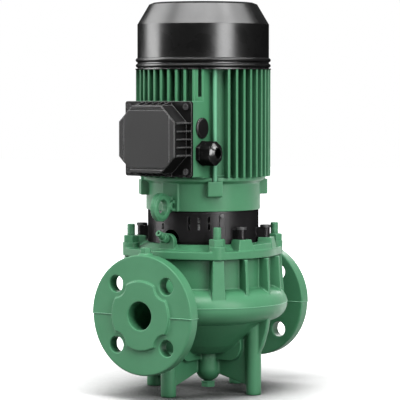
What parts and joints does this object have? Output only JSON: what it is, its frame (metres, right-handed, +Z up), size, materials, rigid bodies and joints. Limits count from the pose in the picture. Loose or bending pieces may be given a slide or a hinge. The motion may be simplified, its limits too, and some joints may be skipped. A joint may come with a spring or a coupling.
{
  "type": "in-line circulation pump",
  "caption": "In-line circulation pump with a vertical fan-cooled motor, flanged cast housing on foot posts, finned motor frame, terminal box, lantern and domed fan cover.",
  "frame": {"origin": "on the floor under the motor axis, at the centre of the foot bolt circle", "axes": "+Z up along the shaft, +Y the way the water flows, +X towards the cable gland"},
  "size_m": [0.202, 0.26, 0.462],
  "materials": {
    "paint": "satin green enamel over cast iron",
    "frame_paint": "satin green enamel over die-cast aluminium",
    "black_paint": "satin black enamel over die-cast aluminium",
    "fan_cover_black": "satin black powder coat on pressed sheet",
    "black_plastic": "matt black moulded plastic",
    "gloss_black": "glossy black moulded plastic",
    "black_screw": "blackened steel",
    "rubber": "black rubber",
    "bronze": "cast bronze and brass",
    "bright_steel": "machined steel",
    "rod_steel": "steel rods under the green enamel",
    "core_steel": "stacked electrical sheet",
    "copper": "varnished copper wire",
    "ceramic": "polished ceramic",
    "carbon": "carbon seal ring",
    "board": "red-brown moulded resin"
  },
  "bodies": {
    "pump_body": {"pump_housing": "paint", "drain_plug": "paint", "tap_plugs": "paint", "wear_ring": "bronze", "cover_gasket": "rubber", "casing_cover": "paint", "cover_studs": "paint", "cover_nuts": "paint", "seal_seat": "ceramic", "lantern": "black_paint", "lantern_screws": "black_screw", "guard_plates": "black_paint", "guard_screws": "black_screw", "lower_shield": "paint", "shaft_ring": "rubber", "tie_rods": "rod_steel", "motor_frame": "frame_paint", "stator_core": "core_steel", "stator_windings": "copper", "lower_outer_race": "bright_steel", "upper_outer_race": "bright_steel", "spring_washer": "bright_steel", "upper_shield": "paint", "fan_cover": "fan_cover_black", "lid_gasket": "rubber", "terminal_board": "board", "terminal_studs": "bronze", "gland_body": "black_plastic", "gland_seal": "rubber", "blanking_plug": "black_plastic"},
    "rotor": {"impeller": "bronze", "impeller_nut": "bright_steel", "pump_shaft": "bright_steel", "shaft_clamp_screws": "bright_steel", "seal_face": "carbon", "seal_spring": "bright_steel", "seal_bellows": "rubber", "water_slinger": "rubber", "rotor_core": "core_steel", "motor_shaft": "bright_steel", "lower_inner_race": "bright_steel", "upper_inner_race": "bright_steel", "cooling_fan": "black_plastic", "fan_clip": "bright_steel"},
    "lower_ball_set": {"lower_balls": "bright_steel"},
    "upper_ball_set": {"upper_balls": "bright_steel"},
    "vent_screw": {"vent_nipple": "paint"},
    "box_lid": {"terminal_lid": "black_plastic", "lid_screws": "black_screw"},
    "cable_nut": {"gland_nut": "gloss_black"}
  },
  "joints": [
    {"name": "rotor_spin", "type": "hinge", "parent": "pump_body", "child": "rotor", "pos_m": [0, 0, 0.2], "axis": [0, 0, 1], "continuous": true},
    {"name": "lower_cage_spin", "type": "hinge", "parent": "pump_body", "child": "lower_ball_set", "pos_m": [0, 0, 0.236], "axis": [0, 0, 1], "continuous": true},
    {"name": "upper_cage_spin", "type": "hinge", "parent": "pump_body", "child": "upper_ball_set", "pos_m": [0, 0, 0.372], "axis": [0, 0, 1], "continuous": true},
    {"name": "vent_turn", "type": "hinge", "parent": "pump_body", "child": "vent_screw", "pos_m": [0, -0.071, 0.182], "axis": [0, -0.8829, 0.4695], "range_deg": [0, 720]},
    {"name": "lid_lift", "type": "slide", "parent": "pump_body", "child": "box_lid", "axis": [0, -1, 0], "range_m": [0, 0.06]},
    {"name": "gland_turn", "type": "hinge", "parent": "pump_body", "child": "cable_nut", "pos_m": [0.05, -0.069, 0.286], "axis": [1, 0, 0], "range_deg": [0, 720]}
  ],
  "couplings": [
    {"joint": "lower_cage_spin", "follows": "rotor_spin", "ratio": 0.38},
    {"joint": "upper_cage_spin", "follows": "rotor_spin", "ratio": 0.38}
  ]
}
